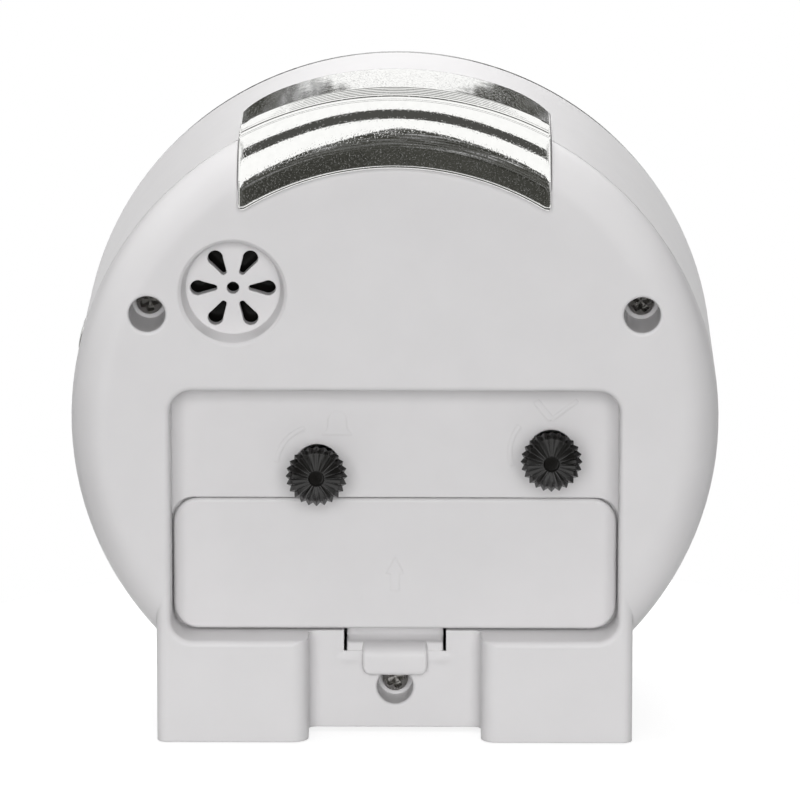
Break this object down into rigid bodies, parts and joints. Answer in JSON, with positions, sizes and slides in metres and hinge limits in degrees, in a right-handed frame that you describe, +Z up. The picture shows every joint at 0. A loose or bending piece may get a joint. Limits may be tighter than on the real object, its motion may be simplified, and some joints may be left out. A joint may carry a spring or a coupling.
{
  "type": "quartz alarm clock",
  "caption": "Round battery alarm clock on a square base, with a plated snooze bar over the top rear edge, setting knobs in a recess, a sounder grille and a hinged battery door.",
  "frame": {"origin": "on the table, under the middle of the clock's box", "axes": "+Z up, -Y towards the dial, +Y towards the back with its knobs"},
  "size_m": [0.1, 0.0492, 0.1016],
  "materials": {
    "case_plastic": "satin moulded",
    "plating": "bright plated",
    "lens_clear": "clear polished",
    "dial_card": "matt printed",
    "surround_plastic": "satin",
    "hand_black": "satin painted",
    "hand_red": "satin painted",
    "hand_gold": "satin",
    "black_plastic": "satin moulded",
    "nylon": "moulded",
    "middle_plastic": "moulded",
    "steel": "bright",
    "brass": "bright",
    "magnet": "ground",
    "bobbin_green": "moulded",
    "copper": "enamelled wire",
    "board_green": "lacquered",
    "chip_black": "cured drop",
    "cell_sleeve": "plain sleeve",
    "lead_red": "insulated",
    "lead_black": "insulated",
    "lead_blue": "insulated"
  },
  "bodies": {
    "case": {"front_case": "case_plastic", "rear_cover": "case_plastic", "front_bezel": "plating", "lens": "lens_clear", "dial_surround": "surround_plastic", "dial": "dial_card", "snooze_switch": "black_plastic", "alarm_switch_body": "black_plastic", "battery_cell": "cell_sleeve", "positive_contact": "steel", "negative_contact": "steel", "sounder_case": "black_plastic", "sounder_disc": "black_plastic", "case_screws": "steel", "movement_front_housing": "nylon", "movement_middle_plate": "middle_plastic", "movement_rear_housing": "nylon", "movement_screws": "steel", "stator": "steel", "coil_bobbin": "bobbin_green", "coil_winding": "copper", "circuit_board": "board_green", "quartz_crystal": "steel", "clock_chip": "chip_black", "alarm_contact_leaf": "brass", "battery_leads": "lead_red", "sounder_leads": "lead_black", "switch_leads": "lead_blue"},
    "snooze": {"snooze_bar": "plating", "snooze_button": "black_plastic"},
    "alarm_switch": {"alarm_switch_slider": "plating"},
    "door": {"battery_door": "case_plastic"},
    "latch": {"door_latch": "case_plastic"},
    "time_set": {"time_set_knob": "black_plastic", "time_set_shaft": "nylon"},
    "alarm_set": {"alarm_set_knob": "black_plastic", "alarm_set_shaft": "nylon"},
    "minute": {"cannon_pinion": "brass", "minute_hand": "hand_black"},
    "motion": {"motion_wheel": "nylon"},
    "hour": {"hour_wheel": "nylon", "hour_hand": "hand_black"},
    "alarm_pointer": {"alarm_wheel": "nylon", "alarm_hand": "hand_gold"},
    "centre": {"centre_wheel": "nylon"},
    "third": {"third_wheel": "nylon"},
    "second": {"fourth_wheel": "nylon", "second_hand": "hand_red"},
    "intermediate": {"intermediate_wheel": "nylon"},
    "rotor": {"rotor": "magnet"}
  },
  "joints": [
    {"name": "snooze_press", "type": "slide", "parent": "case", "child": "snooze", "axis": [0, 0, -1], "range_m": [0, 0.0012], "stiffness_N_per_m": 600, "springref_m": -0.001},
    {"name": "alarm_switch_slide", "type": "slide", "parent": "case", "child": "alarm_switch", "axis": [0, 0, -1], "range_m": [0, 0.0028]},
    {"name": "battery_door_open", "type": "hinge", "parent": "case", "child": "door", "pos_m": [0, 0.015, 0.03635], "axis": [1, 0, 0], "range_deg": [0, 60]},
    {"name": "latch_press", "type": "slide", "parent": "door", "child": "latch", "axis": [0, 0, 1], "range_m": [0, 0.0012], "stiffness_N_per_m": 500, "springref_m": -0.0005},
    {"name": "time_set_turn", "type": "hinge", "parent": "case", "child": "time_set", "pos_m": [-0.02417, 0, 0.04476], "axis": [0, 1, 0], "continuous": true},
    {"name": "minute_turn", "type": "hinge", "parent": "case", "child": "minute", "pos_m": [0, 0, 0.0503], "axis": [0, 1, 0], "continuous": true},
    {"name": "motion_turn", "type": "hinge", "parent": "case", "child": "motion", "pos_m": [-0.0117, 0, 0.04762], "axis": [0, 1, 0], "continuous": true},
    {"name": "hour_turn", "type": "hinge", "parent": "case", "child": "hour", "pos_m": [0, 0, 0.0503], "axis": [0, 1, 0], "continuous": true},
    {"name": "alarm_set_turn", "type": "hinge", "parent": "case", "child": "alarm_set", "pos_m": [0.01204, 0, 0.04239], "axis": [0, 1, 0], "continuous": true},
    {"name": "alarm_pointer_turn", "type": "hinge", "parent": "case", "child": "alarm_pointer", "pos_m": [0, 0, 0.0503], "axis": [0, 1, 0], "continuous": true},
    {"name": "rotor_turn", "type": "hinge", "parent": "case", "child": "rotor", "pos_m": [-0.0123, 0, 0.0574], "axis": [0, 1, 0], "continuous": true},
    {"name": "intermediate_turn", "type": "hinge", "parent": "case", "child": "intermediate", "pos_m": [-0.00624, 0, 0.0539], "axis": [0, 1, 0], "continuous": true},
    {"name": "second_turn", "type": "hinge", "parent": "case", "child": "second", "pos_m": [0, 0, 0.0503], "axis": [0, 1, 0], "continuous": true},
    {"name": "third_turn", "type": "hinge", "parent": "case", "child": "third", "pos_m": [0.0035, 0, 0.05636], "axis": [0, 1, 0], "continuous": true},
    {"name": "centre_turn", "type": "hinge", "parent": "case", "child": "centre", "pos_m": [0, 0, 0.0503], "axis": [0, 1, 0], "continuous": true}
  ],
  "couplings": [
    {"joint": "motion_turn", "follows": "time_set_turn", "ratio": -0.42222},
    {"joint": "minute_turn", "follows": "time_set_turn", "ratio": 1.2667},
    {"joint": "hour_turn", "follows": "time_set_turn", "ratio": 0.10556},
    {"joint": "alarm_pointer_turn", "follows": "alarm_set_turn", "ratio": -0.33333},
    {"joint": "intermediate_turn", "follows": "rotor_turn", "ratio": -0.16667},
    {"joint": "second_turn", "follows": "rotor_turn", "ratio": 0.033333},
    {"joint": "third_turn", "follows": "rotor_turn", "ratio": -0.0044444},
    {"joint": "centre_turn", "follows": "rotor_turn", "ratio": 0.00055556}
  ]
}
